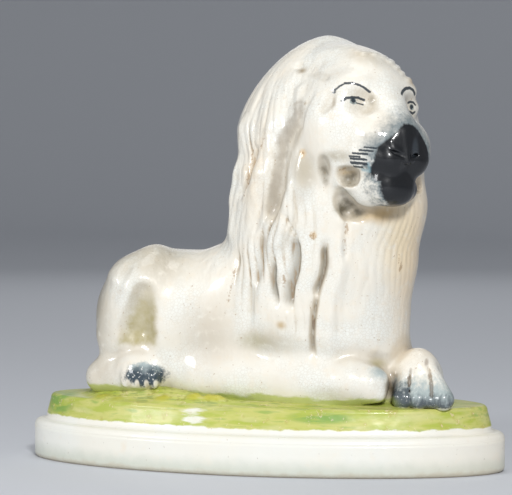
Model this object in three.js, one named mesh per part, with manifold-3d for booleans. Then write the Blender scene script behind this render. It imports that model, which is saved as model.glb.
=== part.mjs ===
// Lion figure in glazed earthenware: a lion lying on a low oval base, its head turned to one side.
//
// Millimetres, +Z up. The origin is the middle of the base's underside, +X points to the lion's
// chest and -Y to the side that its face turns to. The figure is one casting, so it is one solid:
// the animal is modelled as rounded forms that melt into each other, as wet clay does, and is
// then joined to the base.

import * as THREE from 'three';
import { LoftGeometry } from 'three/addons/geometries/LoftGeometry.js';
import { MarchingCubes } from 'three/addons/objects/MarchingCubes.js';
import { SimplifyModifier } from 'three/addons/modifiers/SimplifyModifier.js';
import { mergeVertices } from 'three/addons/utils/BufferGeometryUtils.js';
import Module from 'manifold-3d';

const wasm = await Module();
wasm.setup();

// Base: an oval foot, a cove, and a green slab with a low grassy mound on it
const BASE_LENGTH = 300;
const BASE_DEPTH = 128;
const OVAL_POWER = 1.88;
const OVAL_POINTS = 64;
const FOOT_HEIGHT = 24;
const COVE_HEIGHT = 28;
const COVE_INSET = 8.2;
const RIM_HEIGHT = 40;
const RIM_INSET = 10.6;
const RIM_RADIUS = 3;
const MOUND_HEIGHT = 45;

// Mane and chest: an upright column under a domed crown
const CROWN_TOP = 263;
const CROWN_START = 205;

// Head: its middle over the base, and the way the face looks, measured from +X
const HEAD_X = 66;
const HEAD_Y = -17;
const FACE_TURN = THREE.MathUtils.degToRad(-43);
const MUZZLE_FORWARD = 36;
const NOSE_HEIGHT = 193;
const EYE_HEIGHT = 218.5;
const EYE_SPREAD = 19;
const HEAD_ROLL = 0.08;

// Level inside the slab where the animal stops
const ANIMAL_BOTTOM = 33;

// Fineness of the model
const CELLS = 128;
const CELL_SIZE = 2.15;
const ANIMAL_TRIANGLES = 7800;

// Smooth joins between two distances; reach is how far a join's fillet spreads
function meltTogether(a, b, reach) {
  const share = Math.max(reach - Math.abs(a - b), 0) / reach;
  return Math.min(a, b) - share * share * reach / 4;
}

function carveAway(a, b, reach) {
  return -meltTogether(-a, b, reach);
}

// Distance to an ellipsoid
function ellipsoid(centre, radii) {
  return (x, y, z) => {
    const u = (x - centre[0]) / radii[0];
    const v = (y - centre[1]) / radii[1];
    const w = (z - centre[2]) / radii[2];
    const scaled = Math.hypot(u, v, w);
    const slope = Math.hypot(u / radii[0], v / radii[1], w / radii[2]);
    return slope > 0 ? scaled * (scaled - 1) / slope : -Math.min(...radii);
  };
}

// Distance to a limb: a rod from start to end whose radius changes evenly
function limb(start, startRadius, end, endRadius) {
  const along = end.map((value, axis) => value - start[axis]);
  const lengthSquared = along[0] ** 2 + along[1] ** 2 + along[2] ** 2;
  return (x, y, z) => {
    const dx = x - start[0];
    const dy = y - start[1];
    const dz = z - start[2];
    const raw = (dx * along[0] + dy * along[1] + dz * along[2]) / lengthSquared;
    const share = Math.min(Math.max(raw, 0), 1);
    const gap = Math.hypot(dx - share * along[0], dy - share * along[1], dz - share * along[2]);
    return gap - startRadius - share * (endRadius - startRadius);
  };
}

// The same form measured in the head's own frame: forward, to the near side, up
function onHead(form) {
  const cosine = Math.cos(FACE_TURN);
  const sine = Math.sin(FACE_TURN);
  return (x, y, z) => {
    const dx = x - HEAD_X;
    const dy = y - HEAD_Y;
    const near = dx * sine - dy * cosine;
    return form(dx * cosine + dy * sine, near, z - HEAD_ROLL * near);
  };
}

// Mane column, level by level: height, middle along X and Y, half length, half depth
const MANE_LEVELS = [
  [30, 31, -1, 59, 42],
  [97, 33, -2, 58, 42],
  [130, 37, -3, 60, 43],
  [160, 42, -4, 62, 44],
  [178, 42, -4, 60, 44],
  [205, 40, 1, 57, 44],
];

// Grooves between the mane's locks, as angles round the column from +X in degrees:
// angle above, angle below, height above, height below, depth, half width
const MANE_GROOVES = [
  [-76, -80, 142, 72, 4.5, 4.5],
  [-95, -94, 145, 98, 4, 4.5],
  [-108, -103, 122, 96, 3, 4.5],
  [-114, -123, 132, 90, 3, 4.5],
  [-139, -152, 128, 94, 2.5, 4.5],
  [-98, -86, 232, 160, 4, 5],
  [-120, -112, 225, 140, 2.5, 4],
  [-150, -128, 215, 140, 2.5, 4],
  [175, 180, 225, 120, 2.5, 4],
  [150, 158, 230, 110, 3, 4],
  [125, 130, 220, 100, 3, 4],
  [100, 104, 225, 90, 3, 4],
  [75, 80, 215, 80, 3, 4],
  [50, 55, 190, 80, 2.5, 4],
];

function maneLevel(z) {
  let row = 0;
  while (row < MANE_LEVELS.length - 2 && z > MANE_LEVELS[row + 1][0]) row += 1;
  const lower = MANE_LEVELS[row];
  const upper = MANE_LEVELS[row + 1];
  const share = THREE.MathUtils.smoothstep(z, lower[0], upper[0]);
  return lower.map((value, column) => THREE.MathUtils.lerp(value, upper[column], share));
}

function crownShrink(z) {
  const rise = Math.min(Math.max((z - CROWN_START) / (CROWN_TOP - CROWN_START), 0), 1);
  return (1 - rise ** 1.48) ** 0.6;
}

function grooveDepth(angle, radius, z) {
  let depth = 0;
  for (const [above, below, top, bottom, full, width] of MANE_GROOVES) {
    const share = (z - bottom) / (top - bottom);
    if (share < -0.1 || share > 1.1) continue;
    const line = THREE.MathUtils.degToRad(below + (above - below) * share);
    const turn = Math.atan2(Math.sin(angle - line), Math.cos(angle - line));
    const across = turn * radius / width;
    const foot = THREE.MathUtils.smoothstep(share, -0.1, 0.12);
    const head = 1 - THREE.MathUtils.smoothstep(share, 0.88, 1.1);
    depth = Math.max(depth, full * foot * head * Math.exp(-across * across));
  }
  return depth;
}

function mane(x, y, z) {
  const [, middleX, middleY, reachX, reachY] = maneLevel(z);
  const shrink = Math.max(crownShrink(z), 0.02);
  const dx = x - middleX;
  const dy = y - middleY;
  const u = dx / (reachX * shrink);
  const v = dy / (reachY * shrink);
  const scaled = Math.hypot(u, v);
  const slope = Math.hypot(u / (reachX * shrink), v / (reachY * shrink));
  if (slope === 0) return -reachY * shrink;
  const plain = scaled * (scaled - 1) / slope;
  if (Math.abs(plain) > 12) return plain;
  return Math.max(plain + grooveDepth(Math.atan2(v, u), reachY, z), z - CROWN_TOP);
}

// Every form of the animal, in the order in which it is joined or carved
function animalForms() {
  const forms = [];
  const add = (form, reach, low, high) => {
    forms.push({ form, reach, low, high, join: meltTogether });
  };
  const carve = (form, reach, low, high) => {
    forms.push({ form, reach, low, high, join: carveAway });
  };

  // Body, pelvis, back and belly
  add(ellipsoid([-25, 0, 86], [62, 36, 46]), 8, 0, 150);
  add(ellipsoid([-68, 0, 90], [40, 38, 42]), 14, 0, 150);
  add(ellipsoid([-71, -6, 120], [14, 16, 11]), 10, 90, 150);
  add(ellipsoid([-8, 0, 112], [32, 32, 28]), 8, 60, 160);
  add(limb([-62, -20, 54], 13, [-6, -30, 55], 16), 10, 0, 100);

  // Haunches and hind feet
  for (const side of [-1, 1]) {
    add(limb([-72, 21 * side, 110], 21.5, [-87, 24 * side, 78], 13), 10, 0, 150);
    add(limb([-93, 28 * side, 54], 13, [-72, 37 * side, 54], 12), 7, 0, 100);
  }
  carve(ellipsoid([-73, -43, 88], [10, 9, 17]), 8, 60, 120);

  // Tail along the far side
  add(limb([-96, 20, 56], 8, [-60, 44, 54], 7), 6, 0, 90);
  add(limb([-60, 44, 54], 7, [-38, 42, 58], 10), 5, 0, 90);

  // Mane and chest
  add(mane, 6, 0, 300);

  // Near foreleg, lying along the front of the base
  add(limb([-6, -34, 60], 17, [62, -38, 55], 12), 12, 0, 100);
  add(limb([62, -38, 55], 12, [75, -34, 53], 11), 4, 0, 90);

  // Far foreleg, bent round in front of the chest, with its paw to the viewer
  add(limb([10, 34, 58], 16, [90, 12, 56], 12.5), 8, 0, 100);
  add(limb([90, 12, 56], 12.5, [104, -14, 53], 15), 8, 0, 100);
  add(ellipsoid([106, -20, 51], [17, 13, 13]), 8, 0, 90);
  for (const toe of [0, 1, 2, 3]) {
    const spread = toe - 1.5;
    add(ellipsoid([107 + 9 * spread, -27 + 2 * Math.abs(spread), 48], [5.6, 9, 10]), 2, 0, 90);
  }

  // Skull, crown fringe, cheeks, brows and jaw
  add(onHead(ellipsoid([0, 2, 206], [36, 33, 44])), 14, 140, 270);
  add(onHead(ellipsoid([4, -1, 224], [25, 26, 29])), 10, 140, 270);
  add(onHead(ellipsoid([8, 14, 202], [26, 26, 32])), 10, 140, 260);
  add(onHead(ellipsoid([16, 0, 177], [25, 21, 16])), 12, 140, 220);
  add(onHead(limb([20, 0, 224], 13, [42, 0, 199], 9)), 8, 160, 250);
  add(onHead(ellipsoid([30, 0, 190], [20, 22, 16])), 8, 150, 230);
  for (const side of [-1, 1]) {
    add(onHead(ellipsoid([21, 14 * side, 229], [10, 11, 6])), 6, 205, 250);
    add(onHead(ellipsoid([33, 17 * side, 197], [12, 9, 13])), 8, 160, 230);
    add(onHead(ellipsoid([MUZZLE_FORWARD, 11 * side, 186], [16, 11, 10.5])), 4, 150, 220);
    carve(onHead(ellipsoid([33, EYE_SPREAD * side, EYE_HEIGHT], [6, 8, 5])), 5, 200, 240);
    add(onHead(ellipsoid([25, EYE_SPREAD * side, EYE_HEIGHT], [4, 5.5, 4])), 2, 200, 240);
  }
  add(onHead(ellipsoid([33, 0, 168.5], [13, 14, 11])), 3, 140, 200);
  add(onHead(ellipsoid([47, 0, NOSE_HEIGHT], [9, 10, 11])), 3, 165, 220);

  return forms;
}

// Distance to the whole animal at one point, given the forms that reach this level
function animal(forms, x, y, z) {
  let distance = Infinity;
  for (const { form, reach, join } of forms) {
    const other = form(x, y, z);
    distance = distance === Infinity ? other : join(distance, other, reach);
  }
  return Math.max(distance, ANIMAL_BOTTOM - z);
}

// The animal's skin, found on an even grid and then thinned to few triangles
async function animalGeometry() {
  const cubes = new MarchingCubes(CELLS, undefined, false, false, 200000);
  cubes.isolation = 0;
  const half = CELLS / 2;
  const forms = animalForms();
  for (let k = 0; k < CELLS; k += 1) {
    const z = (k - half) * CELL_SIZE + CELLS * CELL_SIZE / 2;
    const level = forms.filter(({ low, high }) => z >= low && z <= high);
    for (let j = 0; j < CELLS; j += 1) {
      const y = (j - half) * CELL_SIZE;
      for (let i = 0; i < CELLS; i += 1) {
        const x = (i - half) * CELL_SIZE;
        const outside = Math.abs(y) > BASE_DEPTH / 2 || level.length === 0;
        cubes.setCell(i, j, k, outside ? -CELL_SIZE : -animal(level, x, y, z));
      }
    }
  }
  cubes.update();

  const skin = new THREE.BufferGeometry();
  const found = cubes.geometry.getAttribute('position').array.slice(0, cubes.count * 3);
  skin.setAttribute('position', new THREE.BufferAttribute(found, 3));
  skin.scale(half * CELL_SIZE, half * CELL_SIZE, half * CELL_SIZE);
  skin.translate(0, 0, half * CELL_SIZE);
  const merged = mergeVertices(skin, 0.001);
  const spare = merged.getAttribute('position').count - ANIMAL_TRIANGLES / 2;
  return new SimplifyModifier().modify(merged, spare);
}

// Oval outline of the base, drawn in by an even inset, at one height
function ovalRing(inset, height) {
  const halfLength = BASE_LENGTH / 2 - inset;
  const halfDepth = BASE_DEPTH / 2 - inset;
  const ring = [];
  for (let step = 0; step < OVAL_POINTS; step += 1) {
    const turn = step / OVAL_POINTS * Math.PI * 2;
    const along = Math.cos(turn);
    const across = Math.sin(turn);
    ring.push(new THREE.Vector3(
      halfLength * Math.sign(along) * Math.abs(along) ** (2 / OVAL_POWER),
      halfDepth * Math.sign(across) * Math.abs(across) ** (2 / OVAL_POWER),
      height,
    ));
  }
  return ring;
}

function baseGeometry() {
  const profile = [
    [1.5, 0],
    [0, 2],
    [0, FOOT_HEIGHT - 4],
    [1.2, FOOT_HEIGHT - 1.2],
    [4, FOOT_HEIGHT],
    [COVE_INSET - 1, FOOT_HEIGHT + 0.5],
    [COVE_INSET, COVE_HEIGHT],
    [RIM_INSET, RIM_HEIGHT - RIM_RADIUS],
    [RIM_INSET + 0.9, RIM_HEIGHT - 0.9],
    [RIM_INSET + RIM_RADIUS, RIM_HEIGHT],
    [RIM_INSET + 22, (RIM_HEIGHT + MOUND_HEIGHT) / 2 + 1],
    [RIM_INSET + 42, MOUND_HEIGHT],
  ];
  const rings = profile.map(([inset, height]) => ovalRing(inset, height));
  return new LoftGeometry(rings, { capStart: true, capEnd: true });
}

// A closed geometry as a solid that can be joined to another
function solidOf(geometry) {
  const plain = new THREE.BufferGeometry();
  plain.setAttribute('position', geometry.getAttribute('position'));
  plain.setIndex(geometry.getIndex());
  const merged = mergeVertices(plain, 0.001);
  return new wasm.Manifold(new wasm.Mesh({
    numProp: 3,
    vertProperties: new Float32Array(merged.getAttribute('position').array),
    triVerts: new Uint32Array(merged.getIndex().array),
  }));
}

function geometryOf(solid) {
  const mesh = solid.getMesh();
  const geometry = new THREE.BufferGeometry();
  geometry.setAttribute('position', new THREE.BufferAttribute(mesh.vertProperties, 3));
  geometry.setIndex(new THREE.BufferAttribute(mesh.triVerts, 1));
  return geometry;
}

const glaze = new THREE.MeshStandardMaterial({ color: 0xe9e2d2, roughness: 0.18, metalness: 0 });

const figure = solidOf(baseGeometry()).add(solidOf(await animalGeometry()));
const lion = new THREE.Mesh(geometryOf(figure), glaze);
lion.name = 'lion_figure';

const part = new THREE.Group();
part.add(lion);

export default part;
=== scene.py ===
# %% [markdown]
# # A glazed pottery lion
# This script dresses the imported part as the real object: a press-moulded earthenware lion on a low
# oval base, dipped in a glossy cream glaze and touched up with a brush. It is a lesson in cells: each
# step first says what the piece is on the real object, and then makes it.
#
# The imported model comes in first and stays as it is. Every size here is in metres, in its frame: the
# origin is the middle of the underside, +X points to the chest and -Y to the side the face turns to.

import math

import bpy
import numpy as np
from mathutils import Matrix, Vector


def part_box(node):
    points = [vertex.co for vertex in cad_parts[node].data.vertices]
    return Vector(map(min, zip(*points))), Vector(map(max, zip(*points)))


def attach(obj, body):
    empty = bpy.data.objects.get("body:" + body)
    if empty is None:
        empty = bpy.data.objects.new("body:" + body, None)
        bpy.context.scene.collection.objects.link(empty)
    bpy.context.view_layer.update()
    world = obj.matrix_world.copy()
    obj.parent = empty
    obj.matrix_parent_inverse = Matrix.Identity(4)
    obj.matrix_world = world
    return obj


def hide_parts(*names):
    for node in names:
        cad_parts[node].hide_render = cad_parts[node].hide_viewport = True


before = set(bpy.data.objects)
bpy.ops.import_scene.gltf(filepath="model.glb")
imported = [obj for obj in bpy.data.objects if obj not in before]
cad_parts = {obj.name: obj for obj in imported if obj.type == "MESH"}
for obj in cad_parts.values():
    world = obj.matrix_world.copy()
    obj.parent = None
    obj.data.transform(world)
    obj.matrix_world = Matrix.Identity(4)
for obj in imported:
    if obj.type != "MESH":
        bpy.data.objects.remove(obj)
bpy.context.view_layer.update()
low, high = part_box("lion_figure")
LENGTH, DEPTH, HEIGHT = (high[axis] - low[axis] for axis in range(3))
MM = LENGTH / 300
print(f"CAD box {LENGTH:.3f} x {DEPTH:.3f} x {HEIGHT:.3f} m, one design millimetre is {MM:.6f} m")

# %% [markdown]
# ## From arrays to a mesh
# Both pieces of this figure are worked out as whole numpy arrays. One helper puts points and faces
# into a mesh, so that a shape's own code only has to say where its points are.

# %% Mesh helper
def make_piece(name, points, faces, material):
    """A smooth-shaded mesh from an array of points in millimetres and a list of faces."""
    mesh = bpy.data.meshes.new(name)
    mesh.from_pydata((points * MM).tolist(), [], faces)
    mesh.polygons.foreach_set("use_smooth", np.ones(len(mesh.polygons), dtype=bool))
    mesh.materials.append(material)
    mesh.validate()
    piece = bpy.data.objects.new(name, mesh)
    bpy.context.scene.collection.objects.link(piece)
    return piece


# %% [markdown]
# ## Wet clay as distances
# The animal was modelled in soft clay: every form melts into its neighbour and no joint shows. Boxes
# and spheres joined by booleans would leave hard seams, and sculpting by hand can't be written down.
# So each form is a distance: a function that is negative inside the form and positive outside it.
# Two distances join with a fillet, and one can be pressed into another as a thumb presses clay.

# %% Joining and pressing
def melt(a, b, reach):
    """The nearer of two distances, lowered by a fillet where they differ by less than reach."""
    share = np.maximum(reach - np.abs(a - b), 0) / reach
    return np.minimum(a, b) - share * share * reach / 4


def press(a, b, reach):
    """Form b pressed out of form a: the reverse of melting b with the outside of a."""
    return -melt(-a, b, reach)


def ellipsoid(centre, radii, power=2):
    """Distance to an ellipsoid, squarer for a higher power: the scaled radius less one, over its slope."""
    def distance(x, y, z):
        u, v, w = (np.abs(value - middle) / radius for value, middle, radius in zip((x, y, z), centre, radii))
        scaled = np.maximum((u ** power + v ** power + w ** power) ** (1 / power), 1e-3)
        slope = np.sqrt(sum((part / scaled) ** (2 * power - 2) / radius ** 2 for part, radius in zip((u, v, w), radii)))
        return (scaled - 1) / np.maximum(slope, 1e-9)
    return distance


def limb(start, start_radius, end, end_radius):
    """Distance to a rod from start to end whose radius changes evenly along it."""
    start, end = np.array(start, float), np.array(end, float)
    along = end - start
    def distance(x, y, z):
        dx, dy, dz = x - start[0], y - start[1], z - start[2]
        share = np.clip((dx * along[0] + dy * along[1] + dz * along[2]) / (along @ along), 0, 1)
        gap = np.sqrt((dx - share * along[0]) ** 2 + (dy - share * along[1]) ** 2
                      + (dz - share * along[2]) ** 2)
        return gap - start_radius - share * (end_radius - start_radius)
    return distance


def chain(stops):
    """Distance to rods that follow one another through the stops, each a place and a radius."""
    rods = [limb(a[:3], a[3], b[:3], b[3]) for a, b in zip(stops, stops[1:])]
    return lambda x, y, z: np.minimum.reduce([rod(x, y, z) for rod in rods])


# %% [markdown]
# ## The head's own frame
# The head turns away from the body's line, towards the viewer, and leans a little to the far side.
# Its forms are easier to place in its own frame: forward out of the face, across to the near side,
# and up. One wrapper turns any form into that frame.

# %% The head's frame
HEAD_X, HEAD_Y = 62.5, -16.5
FACE_TURN = math.radians(-41)
HEAD_ROLL, HEAD_LEAN = 0.09, 0.03
EYE_HEIGHT = 221


def to_head(x, y, z):
    """Forward, across and up in the head's frame, for places in the figure's frame."""
    dx, dy = x - HEAD_X, y - HEAD_Y
    forward = dx * math.cos(FACE_TURN) + dy * math.sin(FACE_TURN)
    across = dx * math.sin(FACE_TURN) - dy * math.cos(FACE_TURN)
    return forward, across + HEAD_LEAN * (z - EYE_HEIGHT), z - HEAD_ROLL * across


def on_head(form):
    """The same form, measured in the head's frame."""
    return lambda x, y, z: form(*to_head(x, y, z))


# %% [markdown]
# ## The mane column
# From the shoulders up, the mane is one upright column that ends in a dome. It is given level by
# level as an ellipse, and its locks are parted by grooves that run down it at their own angles.

# %% Mane
CROWN_TOP = 262.8
CROWN_START = 205
MANE_LEVELS = np.array([  # height, middle along X and Y, half length, half depth
    [30, 33, 0, 61, 36],
    [68, 33, -1, 60, 37],
    [84, 33, -2, 58.5, 40.5],
    [97, 33.5, -2, 58.5, 42],
    [130, 37, -3, 60, 43],
    [160, 41.3, -4, 61.3, 44],
    [178, 41.2, -4, 59.2, 44],
    [191, 41.4, -2, 56.4, 44],
    [205, 40, 1, 56.5, 44],
], float)

# Lines that part the locks: depth, half width behind and ahead of the line, and stops down it as
# (height, angle round the column in degrees from +X). A line of negative depth is a raised strand.
MANE_LINES = [
    (1.5, 6, 5, [(200, -107), (190, -109), (170, -112), (153, -118)]),
    (2.8, 3, 2, [(194, -130), (185, -133), (177, -134), (166, -142)]),
    (1.2, 3, 4, [(228, -138), (216, -134), (202, -130)]),
    (1.4, 3, 3, [(176, -123), (161, -123), (144, -124)]),
    (1.6, 1.5, 1, [(156, -104), (146, -98.5), (138, -94.5)]),
    (3.8, 5.5, 1.1, [(141, -95.5), (137, -93.8), (131, -92.8), (122, -93.2), (113, -94.9), (101, -95.2)]),
    (3.8, 3, 1.2, [(127, -109), (116, -108), (103, -104)]),
    (2.5, 4, 3, [(144, -119), (126, -119), (113, -120)]),
    (4.2, 2.6, 0.9, [(137, -77), (127, -76.5), (120, -77.1), (112, -78.8), (108, -79)]),
    (3.2, 2, 0.8, [(106, -79), (99, -79.6), (92, -80.5), (81, -81.1), (72, -81.5)]),
    (-2, 2.5, 4, [(142, -70), (128, -68), (119, -69), (105, -71), (80, -73), (70, -72)]),
    (2, 3, 2, [(112, -123), (93, -123)]),
    (2.5, 3, 2, [(130, -139), (115, -138), (103, -137), (92, -136)]),
    (1.4, 1.5, 1.5, [(155, -68), (144, -67), (131, -66)]),
    (-1.5, 6, 6, [(240, -112), (215, -114), (195, -121), (165, -128)]),
    (-2.5, 5, 5, [(176, -100), (150, -104), (135, -107)]),
    (-1.8, 4, 4, [(212, -150), (190, -150), (165, -156), (140, -150)]),
    (2.5, 4, 4, [(225, 175), (120, 180)]),
    (3, 4, 4, [(230, 150), (110, 158)]),
    (3, 4, 4, [(220, 125), (100, 130)]),
    (3, 4, 4, [(225, 100), (90, 104)]),
    (3, 4, 4, [(215, 75), (80, 80)]),
    (2.5, 4, 4, [(190, 50), (80, 55)]),
]


def ease(value, start, end):
    """Rises smoothly from 0 at start to 1 at end."""
    share = np.clip((value - start) / (end - start), 0, 1)
    return share * share * (3 - 2 * share)


def mane_level(z):
    """Middle X, middle Y, half length and half depth of the mane at each height."""
    heights = MANE_LEVELS[:, 0]
    row = np.clip(np.searchsorted(heights, z) - 1, 0, len(heights) - 2)
    share = ease((z - heights[row]) / (heights[row + 1] - heights[row]), 0, 1)
    return [MANE_LEVELS[row, c] + share * (MANE_LEVELS[row + 1, c] - MANE_LEVELS[row, c]) for c in range(1, 5)]


def mane_place(x, y, z):
    """Scaled offsets from the mane's middle, and the half length and depth, shrunk under the dome."""
    middle_x, middle_y, reach_x, reach_y = mane_level(z)
    rise = np.clip((z - CROWN_START) / (CROWN_TOP - CROWN_START), 0, 1)
    shrink = np.maximum((1 - rise ** 1.48) ** 0.6, 0.02)
    long, deep = reach_x * shrink, reach_y * shrink
    return (x - middle_x) / long, (y - middle_y) / deep, long, deep, reach_y


def line_depth(angle, radius, z):
    """Depth of the mane's lines and height of its raised strands, at each angle and height."""
    cut = np.zeros_like(z)
    raised = np.zeros_like(z)
    for depth, behind, ahead, stops in MANE_LINES:
        heights, angles = np.array(stops[::-1], float).T
        line = np.radians(np.interp(z, heights, angles))
        turn = np.arctan2(np.sin(angle - line), np.cos(angle - line))
        ends = ease(z, heights[0] - 6, heights[0] + 5) * (1 - ease(z, heights[-1] - 5, heights[-1] + 6))
        relief = abs(depth) * ends * np.exp(-((turn * radius / np.where(turn < 0, behind, ahead)) ** 2))
        if depth > 0:
            cut = np.maximum(cut, relief)
        else:
            raised = np.maximum(raised, relief)
    return cut, raised


def strand_depth(angle, z):
    """Narrow valleys between strands: where a wave round the column, bent by height, passes zero."""
    bend = 0.9 * np.sin(z / 19 + 1.3 * np.sin(2 * angle)) + 0.45 * np.sin(z / 8.5 + 4 * angle)
    broad = (1 - np.abs(np.sin(13 * angle + bend))) ** 3 * (0.6 + 0.4 * np.sin(z / 24 + 3 * angle))
    narrow = (1 - np.abs(np.sin(33 * angle + 1.7 * bend + z / 19))) ** 2 * (0.55 + 0.45 * np.sin(z / 13 - 5 * angle))
    sides = 0.15 + 0.85 * ease(np.abs(angle + 0.17), 1.1, 1.5)
    hanging = (1.35 * broad + 1.15 * narrow) * sides * ease(z, 74, 92) * (1 - 0.6 * ease(z, 220, 250))
    chest = np.exp(-((angle + 0.55) / 0.3) ** 2) * ease(z, 95, 125) * (1 - ease(z, 165, 178))
    hanging = hanging * (1 - 0.42 * ease(z, 140, 172))
    return hanging + 0.6 * chest * (1 - np.abs(np.sin(34 * angle + 1.5 * np.sin(z / 9)))) ** 2


def mane(x, y, z):
    """Distance to the mane column with its lines and strands."""
    u, v, reach_x, reach_y, radius = mane_place(x, y, z)
    scaled = np.hypot(u, v)
    slope = np.hypot(u / reach_x, v / reach_y)
    plain = scaled * (scaled - 1) / np.maximum(slope, 1e-9)
    angle = np.arctan2(v, u)
    cut, raised = line_depth(angle, radius, z)
    return np.maximum(plain + cut - raised + strand_depth(angle, z), z - CROWN_TOP)


# %% [markdown]
# ## Every form of the animal
# The list below is the order of the modeller's work: body, haunches and feet, tail, mane, forelegs,
# and then the head. Each entry says how far its fillet spreads and between which heights it matters.

# %% Forms of the animal
ANIMAL_BOTTOM = 33
EYE_SPREAD = 22
forms = []


def add(form, reach, lowest, highest):
    forms.append((melt, form, reach, lowest, highest))


def carve(form, reach, lowest, highest):
    forms.append((press, form, reach, lowest, highest))


add(ellipsoid([-25, 0, 86], [62, 35, 46]), 8, 0, 150)
add(ellipsoid([-68, 0, 89], [40, 36, 42]), 14, 0, 150)
add(ellipsoid([-67, -9, 123], [11, 15, 11.5]), 4, 90, 150)
add(ellipsoid([-8, 0, 112], [32, 32, 28]), 8, 60, 160)
add(limb([-58, -16, 58], 15, [-10, -22, 57], 15), 10, 0, 110)

for side in (-1, 1):
    add(limb([-74, 19 * side, 108], 21.5, [-88.5, 18 * side, 77], 12.5), 9, 0, 150)
    add(limb([-86.5, 18 * side, 77], 12, [-93, 19 * side, 60], 9), 3, 0, 110)
    add(limb([-99, 19 * side, 52.5], 10.5, [-74, 24 * side, 56], 13), 5, 0, 100)
    add(ellipsoid([-69, 26 * side, 58], [17, 12, 14]), 4, 0, 100)
    for toe in range(4):
        add(ellipsoid([-78 + 6 * toe, 35 * side, 54], [3.4, 4.5, 6.5]), 2, 0, 90)
carve(limb([-66, -40, 106], 5, [-71, -41, 83], 12), 6, 50, 130)
carve(chain([(-76, -35, 124, 1.5), (-82, -42, 112, 2), (-88, -40, 98, 1.5)]), 5, 70, 140)

add(limb([-96, 20, 60], 8, [-60, 40, 56], 7), 6, 0, 90)
add(limb([-60, 40, 56], 7, [-38, 38, 60], 10), 5, 0, 90)

add(mane, 6, 0, 300)

add(limb([-30, -21, 56], 15, [62, -30, 55], 13.5), 8, 0, 110)
add(limb([62, -30, 55], 13.5, [74, -30, 54], 11.5), 4, 0, 90)
add(limb([70, -33, 61], 4, [81.3, -33, 58], 4), 3, 0, 90)
add(limb([72, -33, 49], 5, [80, -33, 48.5], 4.8), 3, 0, 90)

add(limb([10, 34, 58], 16, [88, 12, 56], 12.5), 8, 0, 100)
add(limb([88, 12, 56], 12.5, [100, -4, 57], 13), 6, 0, 100)
add(limb([99, -12, 61], 12, [83, -14, 56], 9), 4, 0, 95)
add(ellipsoid([99.5, -12, 55], [13, 12, 19]), 5, 0, 90)
FAR_TOES = [(93.6, 7), (103.4, 6.2), (110.5, 5), (118, 6.6)]  # place along X, radius
for toe, radius in FAR_TOES:
    knuckle = [99.5 + 0.55 * (toe - 105), -16, 64]
    add(limb(knuckle, 4.5, [toe, -28 + 0.15 * abs(toe - 105), 45.5], radius), 2, 0, 90)

CLEFTS = [[(97.8, -22, 63, 0.1), (97.3, -25, 57, 0.8), (98.3, -28.5, 49, 0.8)],
          [(107.3, -20.8, 65.5, 0.1), (109.3, -23.4, 60, 0.6), (110.8, -26.4, 55, 0.8), (112, -30.5, 47, 0.8)]]
for stops in CLEFTS:
    carve(chain(stops), 1, 40, 80)

add(on_head(ellipsoid([0, 2, 208], [35, 33, 44])), 14, 140, 270)
add(on_head(ellipsoid([6, -1, 225], [24, 25, 28])), 10, 140, 270)
add(on_head(ellipsoid([8, 14, 204], [26, 26, 32])), 10, 140, 260)
add(on_head(ellipsoid([18, 0, 180], [24, 20, 16])), 12, 140, 220)
add(on_head(limb([18, 0, 228], 14, [43, 0, 206], 10.5)), 8, 160, 250)
add(on_head(ellipsoid([33, 0, 196], [21, 20, 18])), 8, 150, 230)
add(on_head(ellipsoid([43, -12.5, 195], [9, 8.5, 11])), 6, 165, 230)
for side in (-1, 1):
    add(on_head(ellipsoid([20, 15 * side, 231], [9, 12, 6])), 8, 205, 250)
    add(on_head(ellipsoid([33, 15 * side, 200], [12, 8, 12])), 8, 160, 230)
    add(on_head(limb([22, 19 * side, 171.5], 7, [35, 10 * side, 172], 8.5)), 4, 150, 200)
    add(on_head(limb([45, 8 * side, 188.5], 10, [31, 17 * side, 189], 8.5)), 4, 150, 220)
    carve(on_head(ellipsoid([33, EYE_SPREAD * side, EYE_HEIGHT], [4, 8, 4.5])), 7, 200, 240)
    add(on_head(ellipsoid([20, EYE_SPREAD * side, EYE_HEIGHT], [6, 8, 5])), 4, 200, 240)
    carve(on_head(ellipsoid([27.5, 26 * side, 176.3], [7, 8.5, 6], 2.5)), 1.5, 160, 200)
add(on_head(ellipsoid([39, 3, 173], [13.2, 14.7, 12.5], 2.4)), 5, 140, 200)
add(on_head(ellipsoid([30, 12, 165], [7, 6, 5])), 5, 140, 180)
carve(on_head(chain([(21, 24, 166, 3), (19, 21, 161.5, 5), (18.5, 17, 156.5, 5), (24, 12, 155, 3.5)])), 4, 140, 185)
add(ellipsoid([48.5, -38, 162], [8, 8.5, 16]), 3, 140, 185)
carve(ellipsoid([51, -54.5, 182], [4.2, 6, 8.5]), 3, 165, 200)
carve(on_head(chain([(18.5, 37, 215, 1), (20.5, 34.5, 219, 1.5), (20.5, 33.5, 224, 1)])), 5, 200, 235)

add(on_head(ellipsoid([45.5, 1.5, 198], [9, 9.5, 10.5], 2.6)), 2.5, 165, 220)
add(on_head(limb([52.5, 3, 205], 1.8, [55, 1.5, 187], 1.8)), 2, 165, 220)
for side in (-1, 1):
    add(on_head(chain([(51, 2 + 3 * side, 205, 1.5), (50.5, 2 + 9 * side, 198, 1.8), (54, 2 + 4 * side, 188.5, 1.5)])),
        2, 165, 220)
    carve(on_head(limb([55.5, 2 + 4 * side, 190.5], 1.3, [52.5, 2 + 9 * side, 192.5], 1.1)), 1, 165, 220)
carve(on_head(limb([57, 1, 185], 1.5, [56, 1, 179], 1.2)), 1.5, 165, 200)

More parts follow.
